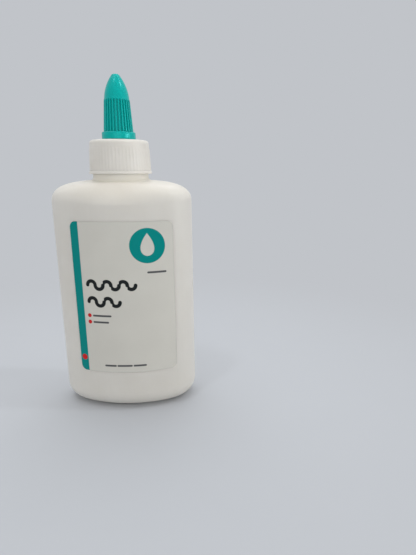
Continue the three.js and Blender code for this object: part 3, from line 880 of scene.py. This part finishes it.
def makeCap():
    rim, deckTop, deckBottom = cap["rim"], cap["deckTop"], cap["deckBottom"]
    bore, entry, entryTop = cap["bore"], cap["entry"], cap["rim"] + cap["entryDepth"]
    topRadius, spout, spoutBore = cap["topRadius"], cap["spout"], cap["spoutBore"]
    depth = cap["ribs"]["depth"]

    def skirt(height):
        return topRadius + cap["draft"] * (1 - ((height - rim) / (deckTop - rim)) ** cap["bow"])

    bandTop, ribTop = rim + cap["rimBand"], deckTop - cap["topBand"]
    upright = deckTop - cap["topUpright"]
    spoutTop = deckTop + cap["spoutHeight"]
    spoutEnd = tipBoreAt(spoutTop) - clearance["tip"]
    bead = skirt(rim) + cap["rimStep"]
    low, high = bandTop + cap["ribFoot"], ribTop - cap["ribHead"]
    profile = plain(
        rounded((entry, rim), cap["entryRound"], 180, 270, 3)
        + rounded((bead, rim), cap["rimRound"], -90, 0, 5)
        + rounded((bead, bandTop), cap["bandRound"], 0, 80, 6))
    for t in shares(cap["ribLevels"]):
        height = low + (high - low) * t
        profile.append((skirt(height) - depth, height, 1.0))
    profile += [(skirt(ribTop) - depth - inwards, ribTop + up, share) for inwards, up, share in cap["ribEnd"]]
    profile += plain(
        [(topRadius + out, upright + up) for out, up in cap["topEase"]]
        + rounded((topRadius, deckTop), cap["deckFillet"], 0, 90, 10)
        + rounded((spout, deckTop), cap["spoutFoot"], -90, -180, 5)
        + [(spout, deckTop + cap["spoutUpright"])]
        + rounded((spoutEnd, spoutTop), cap["spoutRound"], 0, 90, 4)
        + rounded((spoutBore, spoutTop), cap["spoutLip"], 90, 180, 3)
        + rounded((spoutBore, deckBottom), cap["spoutRound"], 180, 270, 3)
        + rounded((bore, deckBottom), cap["boreRound"], 90, 0, 4)
        + [(bore, entryTop + entry - bore), (entry, entryTop)])
    sides = cap["ribs"]["count"] * cap["ribSteps"]
    shell = turn("capShell", profile + profile[:1], sides, finishes["cap"], cap["ribs"])
    webBottom = spoutTop - cap["webHeight"]
    pin = makePin(webBottom, spoutTop)
    reach = (spoutBore + spoutEnd) / 2
    size = (reach, cap["webThickness"], cap["webHeight"])
    middle = (reach / 2, 0.0, (webBottom + spoutTop) / 2)
    webs = [makeWeb(size, middle, 2 * pi * i / cap["webs"]) for i in range(cap["webs"])]
    coil = screw("capThread", cap["thread"], bore, rim, finishes["cap"])
    leads = screw("spoutThread", cap["spoutThread"], spout, deckTop, finishes["cap"])
    mesh = joined("baseCap", [shell, pin] + coil + webs + leads)
    putPiece("baseCap", mesh, finishes["cap"], "base_cap", "base_cap")


makeCap()
makeTip()

studio = {  # the floor's radius and fade in metres
    "backdrop": colour(0.533, 0.552, 0.584),
    "floorPale": colour(0.512, 0.528, 0.556), "floorDeep": colour(0.502, 0.518, 0.546), "specks": 40.0,
    "floorRadius": 3.0, "floorSides": 96, "fade": (0.05, 0.24),
    "sky": 0.72,
}


def shownRays(start):  # rays that show the backdrop, also in a gloss or through something clear
    ray = start.node("ShaderNodeLightPath", None, None, "Is Camera Ray")
    return ray.most(ray.other("Is Glossy Ray")).most(ray.other("Is Transmission Ray"))


def makeFloor():  # fades into the backdrop away from the bottle
    made, shader = finish("paleFloor", {"Roughness": 0.9, "Specular IOR Level": 0.1})
    place = objectPlace(shader)
    x, y = place.split()[:2]
    speck = grain(shader, place, studio["specks"])
    shader.set("Base Color", speck.blend(studio["floorDeep"], studio["floorPale"]))
    plainLight = shader.node("ShaderNodeEmission", None, {"Color": studio["backdrop"], "Strength": 1.0})
    share = shownRays(shader) * (x * x + y * y).root().soft(*studio["fade"])
    mixed = shader.node("ShaderNodeMixShader", None, {0: share, 1: shader, 2: plainLight})
    output = [node for node in made.node_tree.nodes if node.type == "OUTPUT_MATERIAL"][0]
    mixed.feed(output.inputs["Surface"], mixed)
    shape = bmesh.new()
    bmesh.ops.create_circle(
        shape, cap_ends=True, segments=studio["floorSides"], radius=studio["floorRadius"])
    mesh = asMesh("studioFloor", shape)
    mesh.materials.append(made)
    floor = bpy.data.objects.new("studioFloor", mesh)
    bpy.context.scene.collection.objects.link(floor)


def makeSky():  # even white light, and the backdrop where it is seen
    world = bpy.data.worlds.new("studioSky")
    bpy.context.scene.world = world
    world.use_nodes = True
    world.node_tree.nodes.clear()
    start = Wire(world.node_tree)
    white = colour(1.0, 1.0, 1.0)
    light = start.node("ShaderNodeBackground", None, {"Color": white, "Strength": studio["sky"]})
    shown = start.node("ShaderNodeBackground", None, {"Color": studio["backdrop"], "Strength": 1.0})
    mixed = start.node("ShaderNodeMixShader", None, {0: shownRays(start), 1: light, 2: shown})
    start.node("ShaderNodeOutputWorld", None, {"Surface": mixed})


cool, neutral = (0.95, 0.99, 1.03), (1.0, 1.0, 1.0)
lamps = {  # place and aim in millimetres, size in metres, power in watts, spread in degrees
    "overhead": {"place": (-60, 350, 900), "aim": (0, 0, 70), "size": (0.9, 0.9), "power": 3.3,
                 "tone": cool, "spread": 180},
    "front": {"place": (60, -900, 60), "aim": (0, 0, 60), "size": (0.9, 0.5), "power": 1.7,
              "tone": neutral, "spread": 180},
    "rightLow": {"place": (771, -236, 150), "aim": (0, 0, 150), "size": (0.56, 0.14), "power": 0.125,
                 "tone": neutral, "spread": 44},  # aimed over the tip, so that the body gets less of it
    "leftHigh": {"place": (-176, -304, 964), "aim": (0, 0, 110), "size": (0.05, 0.12), "power": 0.65,
                 "tone": cool, "spread": 180},
    "rightHigh": {"place": (535, -40, 735), "aim": (0, 0, 110), "size": (0.05, 0.12), "power": 0.7,
                  "tone": cool, "spread": 180},
}


def makeLamp(name, size, place, aim, power, tone, spread):
    data = bpy.data.lights.new(name, "AREA")
    data.shape = "RECTANGLE"
    data.size, data.size_y = size
    data.energy = power
    data.color = tone
    data.spread = radians(spread)
    lamp = bpy.data.objects.new(name, data)
    spot, target = Vector(place) * mm, Vector(aim) * mm
    heading = (target - spot).to_track_quat("-Z", "Y").to_matrix().to_4x4()
    lamp.matrix_world = Matrix.Translation(spot) @ heading
    bpy.context.scene.collection.objects.link(lamp)


viewpoint = {  # camera of the photograph, fitted to the bottle
    "place": (42.67, -184.24, 102.31),
    "tilt": 14.35, "turn": -0.39,  # in degrees
    "focalLength": 430.0, "frameHeight": 555.0, "offMiddle": 18.77,  # in pixels
    "sensor": 36.0, "nearest": 10.0,
}


def makeCamera():
    data = bpy.data.cameras.new("photoCamera")
    data.sensor_width = viewpoint["sensor"]
    data.lens = viewpoint["sensor"] * viewpoint["focalLength"] / viewpoint["frameHeight"]
    data.shift_x = -viewpoint["offMiddle"] / viewpoint["frameHeight"]  # the photograph is cut off-centre
    data.clip_start = viewpoint["nearest"] * mm
    tilt, heading = radians(viewpoint["tilt"]), radians(viewpoint["turn"])
    ahead = Vector((-sin(heading) * cos(tilt), cos(heading) * cos(tilt), -sin(tilt)))
    right = Vector((cos(heading), sin(heading), 0.0))
    up = right.cross(ahead)
    camera = bpy.data.objects.new("photoCamera", data)
    camera.matrix_world = Matrix.Translation(Vector(viewpoint["place"]) * mm) @ (
        Matrix((right, up, -ahead)).transposed().to_4x4())
    bpy.context.scene.collection.objects.link(camera)
    bpy.context.scene.camera = camera


makeFloor()
makeSky()
for name, lamp in lamps.items():
    makeLamp(name, **lamp)
makeCamera()
bpy.context.scene.view_settings.view_transform = "Standard"
print("studio and camera set")
